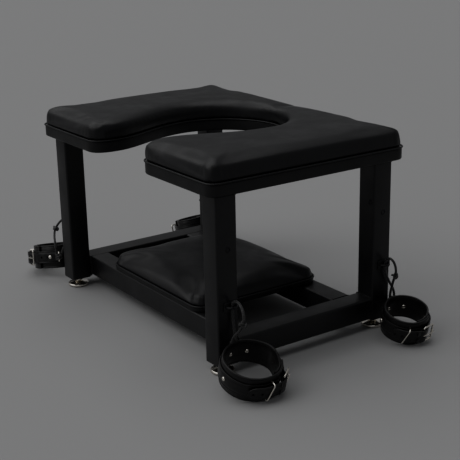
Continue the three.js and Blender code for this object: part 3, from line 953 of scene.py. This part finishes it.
def makeSeatUnderside():
    s = {"clothIn": 0.014, "stapleIn": 0.018, "stapleStep": 0.030}
    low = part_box("seat_board")[0]
    cloth = upright("seatDustCloth", seatOutline(s["clothIn"]),
                    [(0.0006, low.z - 0.0004), (0, low.z - 0.0002), (0, low.z + 0.0006)], dustCloth)
    settle(crisp(cloth, 60), "frame", "board_cover")
    path = [(*p, low.z - 0.0003) for p in seatOutline(s["stapleIn"])]
    staples = setAlong("seatStaples", [path], stapleTool, s["stapleStep"], nickel, closed=True)
    settle(staples, "frame", "bright_metal")


seatEdge = seatOutline()
makeSeatBoard(seatEdge)
makeSeatPad(seatEdge)
makeSeatUnderside()
print("seat done")


# ---------- lower pad ----------
lowerSet = {"corner": 0.026, "inset": 0.001, "start": 0.022, "edge": 0.012,
            "voxel": 0.0045, "pressure": 4.0, "cap": 0.012, "stiff": 9, "cornerIn": 0.028,
            "weltOut": 0.0003, "weltUp": 0.0008, "welt": 0.0015}


def makeLowerPad():
    s = lowerSet
    low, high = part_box("lower_board")
    middle = (low + high) / 2
    half = (high - low) / 2
    ring = evenLoop(roundedBox(half.x, half.y, s["corner"], 8), 0.005) + np.array((middle.x, middle.y))
    board = upright("lowerBoard", ring, edgeProfile(low.z, high.z - 0.0002, 0.0015, 0.0015), boardVinyl)
    settle(crisp(board, 60), "frame", "board_cover", "lower_board")
    padLow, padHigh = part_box("lower_pad")
    normal = outwards(ring)
    pad = upright("lowerPad", ring - normal * s["inset"],
                  edgeProfile(padLow.z, padLow.z + s["start"], 0.001, s["edge"]), vinyl)
    found = puff(pad, s, padLow.z)
    cornerX, cornerY = half.x - s["cornerIn"], half.y - s["cornerIn"]
    spots = [{"at": (middle.x + x, middle.y + y), "reach": 0.032, "folds": 13, "depth": 0.0012}
             for x in (-cornerX, cornerX) for y in (-cornerY, cornerY)]
    finishPad(pad, gather(found, spots, padLow.z, padHigh.z))
    settle(pad, "frame", "pad_vinyl", "lower_pad")
    seam = [(*(p + n * s["weltOut"]), padLow.z + s["weltUp"]) for p, n in zip(ring, normal)]
    settle(tube("lowerWelt", seam, s["welt"], vinyl, sides=8, closed=True), "frame", "pad_vinyl")


makeLowerPad()
print("lower pad done")


# ---------- steel frame ----------
tubeSet = {"wall": 0.002, "corner": 0.0035, "edge": 0.0005, "steps": 5}
tubeHalf = 0.020


# a square steel tube along +Z from 0 to length
def squareTube(name, length):
    s = tubeSet
    outside = np.array(roundedBox(tubeHalf, tubeHalf, s["corner"], s["steps"]))
    profile = [(s["wall"], 0), (s["edge"], 0), (0, s["edge"]), (0, length - s["edge"]), (s["edge"], length),
               (s["wall"], length)]
    return crisp(upright(name, outside, profile, powderCoat, wrap=True))


# a leg and its top plate; returns where the plate's screws go, and which way they face
def makeLeg(name):
    s = {"plate": 0.004, "plateCorner": 0.003, "chamfer": 0.0005, "screwIn": 0.031, "screwAlong": 0.010}
    low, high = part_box(f"leg_{name}")
    footLow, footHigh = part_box(f"levelling_foot_{name}")
    centre = (footLow + footHigh) / 2
    under = high.z - s["plate"]
    leg = squareTube(f"leg_{name}", under - low.z)
    settle(place(leg, Matrix.Translation((centre.x, centre.y, low.z))), "frame", "frame_steel", f"leg_{name}")
    side = 1 if centre.x > 0 else -1
    way = 1 if centre.y > 0 else -1
    half = (high.x - low.x) / 2
    plate = upright(f"topPlate_{name}", roundedBox(half, half, s["plateCorner"], 4),
                    [(s["chamfer"], 0), (0, s["chamfer"]), (0, s["plate"] - 0.0001)], powderCoat)
    crisp(place(plate, Matrix.Translation(((low.x + high.x) / 2, (low.y + high.y) / 2, under))))
    settle(plate, "frame", "frame_steel")
    inX, inY = centre.x - side * s["screwIn"], centre.y - way * s["screwIn"]
    spots = [(inX, inY), (inX, centre.y + way * s["screwAlong"]), (centre.x + side * s["screwAlong"], inY)]
    return [((x, y, under), (0, 0, -1)) for x, y in spots]


def makeRails():
    for side in ("left", "right"):
        low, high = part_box(f"side_rail_{side}")
        rail = squareTube(f"sideRail_{side}", high.y - low.y)
        place(rail, Matrix.Translation(((low.x + high.x) / 2, high.y, (low.z + high.z) / 2))
              @ Matrix.Rotation(math.pi / 2, 4, "X"))
        settle(rail, "frame", "frame_steel", f"side_rail_{side}")
    for where in ("front", "rear"):
        low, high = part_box(f"cross_rail_{where}")
        rail = squareTube(f"crossRail_{where}", high.x - low.x)
        place(rail, Matrix.Translation((low.x, (low.y + high.y) / 2, (low.z + high.z) / 2))
              @ Matrix.Rotation(math.pi / 2, 4, "Y"))
        settle(rail, "frame", "frame_steel", f"cross_rail_{where}")


# beads where two tubes meet; faces that lie flush are ground flat and have none
def makeWelds():
    paths = []
    for side in ("left", "right"):
        low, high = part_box(f"side_rail_{side}")
        inner = high.x if side == "left" else low.x
        outer = low.x if side == "left" else high.x
        out = 0.0004 if side == "left" else -0.0004
        for y, way in ((low.y, 1), (high.y, -1)):
            at = y + way * 0.0005
            paths.append([(outer + out * 8, at, high.z), (inner + out, at, high.z), (inner + out, at, low.z),
                          (outer + out * 8, at, low.z)])
    for where in ("front", "rear"):
        low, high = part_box(f"cross_rail_{where}")
        for x, way in ((low.x, 1), (high.x, -1)):
            for y in (low.y, high.y):
                paths.append([(x + way * 0.0005, y, low.z + 0.002), (x + way * 0.0005, y, high.z - 0.002)])
    for name in corners:
        low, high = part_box(f"levelling_foot_{name}")
        centre = (low + high) / 2
        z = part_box(f"leg_{name}")[1].z - 0.0045
        ring = [(centre.x + x, centre.y + y, z) for x, y in roundedBox(tubeHalf, tubeHalf, 0.0035, 3)]
        paths.append(ring + [ring[0]])
    welds = setAlong("weldBeads", paths, beadTool, 0.0015, powderCoat, jitter=0.25, seed=7)
    settle(welds, "frame", "frame_steel")


def makeFrame():
    screws = []
    for name in corners:
        screws += makeLeg(name)
    makeRails()
    makeWelds()
    rails = [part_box(f"cross_rail_{where}") for where in ("front", "rear")]
    for low, high in rails:
        screws += [((x, (low.y + high.y) / 2, low.z), (0, 0, -1)) for x in (-0.10, 0.10)]
    settle(setOnPoints("boardScrews", screws, screwTool, blackFixing), "frame", "bright_metal")


# threaded inserts in the legs, where other parts can be bolted on
def makeInserts():
    s = {"outerShift": 0.002, "outerZ": 0.217, "frontShift": 0.010, "frontZ": 0.237}
    spots = []
    for name in corners:
        foot = sum(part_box(f"levelling_foot_{name}"), Vector()) / 2
        side = 1 if foot.x > 0 else -1
        spots.append(((foot.x + side * tubeHalf, foot.y + s["outerShift"], s["outerZ"]), (side, 0, 0)))
        if name.startswith("rear"):
            spots.append(((foot.x + side * s["frontShift"], foot.y - tubeHalf, s["frontZ"]), (0, -1, 0)))
    settle(setOnPoints("legInserts", spots, insertTool, blackFixing), "frame", "frame_steel")


# levelling foot: nickel disc on a rubber pad, a threaded stud, a lock nut and the leg's end plug
def makeFoot(name):
    s = {"stud": 0.0047, "root": 0.0040, "threadStart": 0.0096, "turns": 26, "nutBore": 0.0053,
         "plugCorner": 0.002, "plugBore": 0.0058, "around": 48}
    low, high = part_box(f"levelling_foot_{name}")
    centre = (low + high) / 2
    spot = Matrix.Translation((centre.x, centre.y, 0))
    r = (high.x - low.x) / 2
    disc = [(0, 0.0012), (r - 0.0012, 0.0012), (r - 0.0003, 0.0016), (r, 0.0023), (r, 0.0046),
            (r - 0.0004, 0.0053), (r - 0.0013, 0.0058), (0.0125, 0.0068), (0.0090, 0.0078), (0.0075, 0.0090),
            (s["stud"], 0.0092)]
    step = (high.z - 0.001 - s["threadStart"]) / s["turns"]
    for i in range(s["turns"]):
        z = s["threadStart"] + step * i
        disc += [(s["stud"], z), (s["root"], z + step / 2)]
    disc += [(s["root"], high.z - 0.0005), (0, high.z)]
    foot = crisp(place(turned(f"levellingFoot_{name}", disc, nickel, steps=56), spot), 40)
    settle(foot, f"foot_{name}", "bright_metal", f"levelling_foot_{name}")
    pad = [(0, 0), (r - 0.0025, 0), (r - 0.0018, 0.0006), (r - 0.0016, 0.0014), (0, 0.0014)]
    settle(place(turned(f"footPad_{name}", pad, rubber, steps=56), spot), f"foot_{name}", "plug_plastic")

    def hole(radius, angles, heights):
        return [[(radius * math.cos(a), radius * math.sin(a), z) for a in angles] for z in heights]

    nutLow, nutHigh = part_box(f"lock_nut_{name}")
    flats = (nutHigh.y - nutLow.y) / 2
    angles = [2 * math.pi * i / s["around"] for i in range(s["around"])]
    chamfer, side = 0.0012, math.pi / 3
    rings = []
    for cut, z in ((chamfer, nutLow.z), (0, nutLow.z + 0.0010), (0, nutHigh.z - 0.0010), (chamfer, nutHigh.z)):
        most = flats * 1.155 - cut  # the corners, ground back at both faces
        reach = [min(flats / math.cos(a % side - side / 2), most) for a in angles]
        rings.append([(k * math.cos(a), k * math.sin(a), z) for k, a in zip(reach, angles)])
    rings += hole(s["nutBore"], angles, (nutHigh.z, nutLow.z))
    nut = crisp(place(loft(f"lockNut_{name}", rings, nickel, wrap=True), spot), 30)
    settle(nut, "frame", "bright_metal", f"lock_nut_{name}")

    plugLow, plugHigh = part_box(f"leg_plug_{name}")
    half = (plugHigh.x - plugLow.x) / 2
    square = evenLoop(roundedBox(half, half, s["plugCorner"], 4), half * 8 / s["around"])[:s["around"]]
    rings = [[(x * k, y * k, z) for x, y in square]
             for k, z in ((0.97, plugLow.z), (1, plugLow.z + 0.0005), (1, plugHigh.z))]
    rings += hole(s["plugBore"], [math.atan2(y, x) for x, y in square], (plugHigh.z, plugLow.z))
    plug = crisp(place(loft(f"legPlug_{name}", rings, plastic, wrap=True), spot), 40)
    settle(plug, "frame", "plug_plastic", f"leg_plug_{name}")


makeFrame()
makeInserts()
for cornerName in corners:
    makeFoot(cornerName)
print("frame done")


# ---------- anchor eyes ----------
def makeEye(name):
    s = {"plate": 0.002, "chamfer": 0.0004, "plateCorner": 0.003, "reach": 0.009, "wire": 0.002, "steps": 24}
    low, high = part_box(f"anchor_eye_{name}")
    side = corners[name]["side"]
    middle = (low + high) / 2
    base = low.x if side > 0 else high.x
    halfY, halfZ = (high.y - low.y) / 2, (high.z - low.z) / 2
    plate = upright("eyePlate", roundedBox(halfZ, halfY, s["plateCorner"], 5),
                    [(0, 0), (0, s["plate"] - s["chamfer"]), (s["chamfer"], s["plate"])], powderCoat)
    place(plate, Matrix.Translation((base, middle.y, middle.z)) @ Matrix.Rotation(side * math.pi / 2, 4, "Y"))
    half = arc(s["plate"] / 2, 0, s["reach"], -90, 90, s["steps"])
    path = [(base + side * out, middle.y + y, middle.z) for out, y in half]
    staple = tube("eyeStaple", path, s["wire"], powderCoat, sides=14)
    eye = joinPieces(f"anchorEye_{name}", [crisp(plate), crisp(staple, 60)])
    settle(eye, "frame", "frame_steel", f"anchor_eye_{name}")


for cornerName in corners:
    makeEye(cornerName)
print("eyes done")


# ---------- cuffs ----------
# In a cuff's own frame the band is round about Z, the buckle faces +X and the ring faces -X.
def polar(angle, radius, z=0.0):
    a = math.radians(angle)
    return Vector((radius * math.cos(a), radius * math.sin(a), z))


# soft leather is never quite round
def waver(angle, corner):
    a = math.radians(angle)
    return 0.0005 * math.sin(2 * a + corner) + 0.0003 * math.sin(5 * a + 2 * corner)


def bandPath(radius, phase):
    s = cuffSet
    outer = radius - s["thick"] / 2
    inner = outer - s["thick"] - s["gap"]
    start, span, steps = -s["overlap"] / 2, 360 + s["overlap"], 150
    path = []
    for i in range(steps + 1):
        along = span * i / steps
        ramp = ease((along - s["overlap"] - 6) / 40)
        angle = start + along
        path.append(polar(angle, blendOf(inner, outer, ramp) + waver(angle, phase)))
    return path


def strapPath(radius, phase):
    s = cuffSet
    base = radius + s["gap"] + s["strapThick"] / 2
    heel = math.degrees(s["heelSide"] / base)
    startAngle = -math.degrees((s["heelSide"] + 0.0036) / base)
    riseStart = -360 + math.degrees((s["frontSide"] - 0.0025) / base)
    peak, tail = radius + s["tailRise"], radius + s["tailOut"]
    path = []
    for i in range(110):
        angle = blendOf(startAngle, riseStart, i / 110)
        path.append(polar(angle, base + waver(angle, phase)))
    for i in range(20):
        t = i / 20
        angle = blendOf(riseStart, -360 - heel, t)
        path.append(polar(angle, blendOf(base, peak, ease(t)) + waver(angle, phase)))
    for i in range(45):
        t = i / 44
        angle = blendOf(-360 - heel, -440, t)
        path.append(polar(angle, blendOf(peak, tail, ease(t * 3)) + waver(angle, phase)))
    return path


# the tail comes to a rounded point: past the shoulder it is drawn in across the strap
def roundTail(strap, path, length):
    tip = path[-1]
    inner = (path[-1].length + path[60].length) / 2
    for v in strap.data.vertices:
        flat = Vector((v.co.x, v.co.y, 0))
        toTip = (flat - tip).length
        if toTip < length and flat.length > inner:
            v.co.z *= math.sqrt(max(1 - (1 - toTip / length) ** 2.2, 0.03))


# one cut through the tail for the prong and heel bar, and punched holes further along
def punch(strap, cutters):
    cutter = joinPieces("punchTool", cutters)
    fixNormals(cutter)
    modifier = strap.modifiers.new("punch", "BOOLEAN")
    modifier.operation = "DIFFERENCE"
    modifier.solver = "EXACT"
    modifier.object = cutter
    applyAll(strap)
    bpy.data.objects.remove(cutter)
    strap.data.polygons.foreach_set("use_smooth", [True] * len(strap.data.polygons))
    crisp(strap, 40)


def boxAt(name, low, high):
    points = [(x, y, z) for x in (low[0], high[0]) for y in (low[1], high[1]) for z in (low[2], high[2])]
    faces = [(0, 1, 3, 2), (4, 6, 7, 5), (0, 4, 5, 1), (2, 3, 7, 6), (0, 2, 6, 4), (1, 5, 7, 3)]
    return makeMesh(name, points, faces, leather, smooth=False)


# holes along the tail and through the strap just before it
def punchedHoles(radius):
    s = {"radius": 0.0020, "reach": 0.016, "tail": (-57, -72), "tailStart": 0.002, "body": (30, 46, 62),
         "bodyStart": -0.0005}
    spots = [(angle, s["tailStart"]) for angle in s["tail"]] + [(angle, s["bodyStart"]) for angle in s["body"]]
    cutters = []
    for angle, start in spots:
        low, high = radius + start, radius + s["reach"]
        hole = turned("hole", [(0, low), (s["radius"], low), (s["radius"], high), (0, high)], leather, steps=20)
        place(hole, Matrix.Rotation(math.radians(angle), 4, "Z") @ Matrix.Rotation(math.pi / 2, 4, "Y"))
        cutters.append(hole)
    return cutters


def makeStrap(name, radius, phase):
    s = cuffSet
    path = strapPath(radius, phase)
    strap = ribbon(f"cuffStrap_{name}", path, (0, 0, 1), s["strapWidth"], s["strapThick"], leather,
                   crease=0.003)
    roundTail(strap, path, 0.013)
    slot = boxAt("slot", (radius + 0.004, -0.014, -0.0026), (radius + 0.028, 0.0065, 0.0026))
    punch(strap, [slot] + punchedHoles(radius))
    return strap


# the strap's folded end, in two bands either side of the prong, closed round the heel bar
def makeHeelLoops(name, radius):
    s = cuffSet
    bar = Vector((radius + s["heelOut"], -s["heelSide"], 0))
    round_, wall, wide = 0.00215, 0.0009, 0.0085
    path = [bar + Vector((-0.0012, -0.0150, 0)), bar + Vector((-0.0020, -0.0060, 0))]
    path += [bar + polar(angle, round_) for angle in range(190, -11, -20)]
    path += [bar + Vector((0.0012, -0.0060, 0)), bar + Vector((-0.0002, -0.0150, 0))]
    loops = []
    for z in (0.0076, -0.0076):
        loops.append(ribbon("heelLoop", [p + Vector((0, 0, z)) for p in path], (0, 0, 1), wide, wall, leather))
    return joinPieces(f"heelLoop_{name}", loops)


def makeBuckle(name, radius):
    s = cuffSet
    halfHigh, corner, wire = 0.015, 0.003, 0.0015
    middle = Vector((radius + (s["heelOut"] + s["frontOut"]) / 2, (s["frontSide"] - s["heelSide"]) / 2, 0))
    halfSide = (s["frontSide"] + s["heelSide"]) / 2
    tilt = Matrix.Rotation(-math.atan2(s["frontOut"] - s["heelOut"], s["frontSide"] + s["heelSide"]), 3, "Z")
    path = [tilt @ Vector((0, y, z)) + middle for z, y in roundedBox(halfHigh, halfSide, corner, 6)]
    return crisp(tube(f"buckleFrame_{name}", path, wire, nickel, sides=16, closed=True), 60)


# a shaft from the heel bar to just past the front bar, and the eye that turns on the heel bar
def makeProng(name, radius):
    s = {**cuffSet, "tipOut": 0.0034, "tipPast": 0.0030, "bow": 0.0006, "thick": 0.0013, "thin": 0.0009,
         "end": 0.0004, "eye": 0.0029, "eyeWire": 0.0011, "steps": 28}
    heel = Vector((radius + s["heelOut"], -s["heelSide"], 0))
    tip = Vector((radius + s["frontOut"] + s["tipOut"], s["frontSide"] + s["tipPast"], 0))
    start = heel + Vector((0.0030, -0.0004, 0))
    path = [start, start + Vector((0.0004, 0.0022, 0))]
    path += [start.lerp(tip, t) + Vector((s["bow"] * math.sin(math.pi * t), 0, 0))
             for t in (0.3, 0.5, 0.7, 0.85, 0.95)]
    smooth = smoothPath(path + [tip], s["steps"])
    radii = [blendOf(s["thick"], s["thin"], i / s["steps"]) for i in range(s["steps"])] + [s["end"]]
    shaft = tube("prongShaft", smooth, radii, nickel, sides=12)
    ring = [heel + polar(360 * i / 32, s["eye"]) for i in range(32)]
    eye = tube("prongEye", ring, s["eyeWire"], nickel, sides=10, closed=True)
    return joinPieces(f"bucklePin_{name}", [shaft, eye])


# a wire staple over the tail, a little askew, whose legs stand on the band beside the strap
def makeKeeper(name, radius):
    s = {"side": 0.042, "half": 0.0153, "wire": 0.0012, "round": 0.0030, "skew": -20, "low": -0.0004}
    top = cuffSet["tailOut"] + cuffSet["strapThick"] / 2 + cuffSet["gap"] + s["wire"]
    r, half = s["round"], s["half"]
    corner = [(s["low"], -half), (0.003, -half)] + arc(top - r, -half + r, r, -90, 0, 6)
    corner += arc(top - r, half - r, r, 0, 90, 6) + [(0.003, half), (s["low"], half)]
    path = [(out, 0, z) for out, z in corner]
    keeper = tube(f"strapKeeper_{name}", path, s["wire"], nickel, sides=14)
    around = Matrix.Rotation(-s["side"] / (radius + cuffSet["tailOut"]), 4, "Z")
    outTo = Matrix.Translation((radius, 0, 0)) @ Matrix.Rotation(math.radians(s["skew"]), 4, "X")
    return place(crisp(keeper, 60), around @ outTo)


# the leather tab that holds the ring: it bows out over the ring's bar
def makeTab(name, radius):
    s = {**cuffSet, "halfLong": 0.0209, "bowHalf": 0.0069, "bow": 0.0054}
    base = radius + s["gap"] * 2 + s["strapThick"] + s["tabThick"] / 2
    span, bowSpan = math.degrees(s["halfLong"] / radius), math.degrees(s["bowHalf"] / radius)
    path = []
    for i in range(61):
        angle = blendOf(-span, span, i / 60)
        rise = math.cos(angle / bowSpan * math.pi / 2) ** 2 if abs(angle) < bowSpan else 0
        path.append(polar(180 + angle, base + s["bow"] * rise))
    return ribbon(f"ringTab_{name}", path, (0, 0, 1), s["tabHeight"], s["tabThick"], leather, crease=0.0022)


def makeRing(name, radius):
    wire, reach, half, start = 0.0015, 0.0135, 0.0100, 0.0015
    bow = bezier((start, -half), (reach * 0.75, -half), (reach, -half * 0.7), (reach, 0), 12)
    outline = [(start, -half)] + bow + [(reach, 0)] + [(x, -z) for x, z in reversed(bow)] + [(start, half)]
    shift = radius + cuffSet["ringBarOut"] - wire
    path = [(-(shift + x), 0, z) for x, z in evenLoop(outline, 0.0012)]
    return crisp(tube(f"dRing_{name}", path, wire, nickel, sides=14, closed=True), 60)


# where the strap is riveted to the band, round each cuff from the far side of its ring
strapRivets = {
    "front_left": (20, 260), "front_right": (-84, 96), "rear_right": (-100, 84), "rear_left": (-90, 90),
}


# domed rivet heads outside and inside the band
def makeRivets(name, radius, phase):
    s = {**cuffSet, "tabSide": 0.0158, "tabLift": 0.0003, "strapLift": 0.0002, "backLift": 0.0001}
    strapOut = radius + s["gap"] + s["strapThick"]
    tabOut = strapOut + s["gap"] + s["tabThick"] + s["tabLift"]
    inside = radius - s["thick"] + s["backLift"]
    turn = corners[name]["turn"]
    tabRivet = math.degrees(s["tabSide"] / radius)
    spots = []
    for angle in (180 - tabRivet - turn, 180 + tabRivet - turn):
        out = polar(angle, 1)
        spots += [(out * tabOut, out), (out * (inside + waver(angle, phase)), -out)]
    for angle in strapRivets[name]:
        out, shift = polar(angle - turn, 1), waver(angle - turn, phase)
        spots += [(out * (strapOut + s["strapLift"] + shift), out), (out * (inside + shift), -out)]
    return setOnPoints(f"cuffRivets_{name}", spots, rivetTool, nickel)


# thread along the ends of the ring tab
def makeStitches(name, radius):
    s = {**cuffSet, "inset": 0.0022, "start": 0.0095, "end": 0.0200, "spacing": 0.0034, "out": 0.0001}
    surface = radius + s["gap"] * 2 + s["strapThick"] + s["tabThick"] + s["out"]
    high = s["tabHeight"] / 2 - s["inset"]
    paths = []
    for z in (-high, high):
        for way in (-1, 1):
            sides = [blendOf(s["start"], s["end"], i / 8) for i in range(9)]
            paths.append([polar(180 + way * math.degrees(side / radius), surface, z) for side in sides])
    return setAlong(f"tabStitches_{name}", paths, stitchTool, s["spacing"], thread)


def makeCuff(name, phase):
    closure, lying = closureMatrix(name), cuffMatrix(name)
    body, radius = f"cuff_{name}", corners[name]["radius"]
    band = ribbon(f"cuffBand_{name}", bandPath(radius, phase), (0, 0, 1), cuffSet["height"], cuffSet["thick"],
                  leather, crease=0.0032)
    settle(place(band, closure), body, "cuff_leather", f"cuff_band_{name}")
    settle(place(makeStrap(name, radius, phase), closure), body, "cuff_leather", f"cuff_strap_{name}")
    settle(place(makeHeelLoops(name, radius), closure), body, "cuff_leather")
    settle(place(makeBuckle(name, radius), closure), body, "bright_metal", f"buckle_frame_{name}")
    settle(place(makeProng(name, radius), closure), f"prong_{name}", "bright_metal", f"buckle_prong_{name}")
    settle(place(makeKeeper(name, radius), closure), body, "bright_metal", f"strap_keeper_{name}")
    settle(place(makeTab(name, radius), lying), body, "cuff_leather", f"ring_tab_{name}")
    settle(place(makeRivets(name, radius, phase), closure), body, "bright_metal")
    settle(place(makeStitches(name, radius), lying), body, "cuff_leather")
    settle(place(makeRing(name, radius), lying), f"ring_{name}", "bright_metal", f"d_ring_{name}")


for index, cornerName in enumerate(corners):
    makeCuff(cornerName, 1.3 * index)
print("cuffs done")


# ---------- floor and light ----------
stageSet = {
    "floorHalf": 30.0, "floor": (0.30, 0.30, 0.302), "world": (0.97, 0.98, 1.0), "worldPower": 0.16,
    "lights": [
        {"name": "overhead", "from": (-0.35, -0.25, 1.0), "spread": 1.5, "power": 1.25},
        {"name": "front", "from": (-0.25, -1.0, 0.75), "spread": 0.9, "power": 0.35},
    ],
}


def makeStage(s):
    half = s["floorHalf"]
    floorCoat = newMaterial("floorCoat", s["floor"], 0.8)[0]
    floor = makeMesh("floor", [(-half, -half, 0), (half, -half, 0), (half, half, 0), (-half, half, 0)],
                     [(0, 1, 2, 3)], floorCoat, smooth=False)
    world = bpy.data.worlds.new("studio")
    world.use_nodes = True
    world.node_tree.nodes["Background"].inputs["Color"].default_value = (*s["world"], 1)
    world.node_tree.nodes["Background"].inputs["Strength"].default_value = s["worldPower"]
    scene.world = world
    for light in s["lights"]:
        data = bpy.data.lights.new(light["name"], "SUN")
        data.angle = light["spread"]
        data.energy = light["power"]
        lamp = bpy.data.objects.new(light["name"], data)
        scene.collection.objects.link(lamp)
        lamp.matrix_world = Vector(light["from"]).to_track_quat("Z", "Y").to_matrix().to_4x4()


makeStage(stageSet)
for tool in (stitchTool, beadTool, rivetTool, screwTool, insertTool, stapleTool):
    bpy.data.objects.remove(tool)
print("stage done")
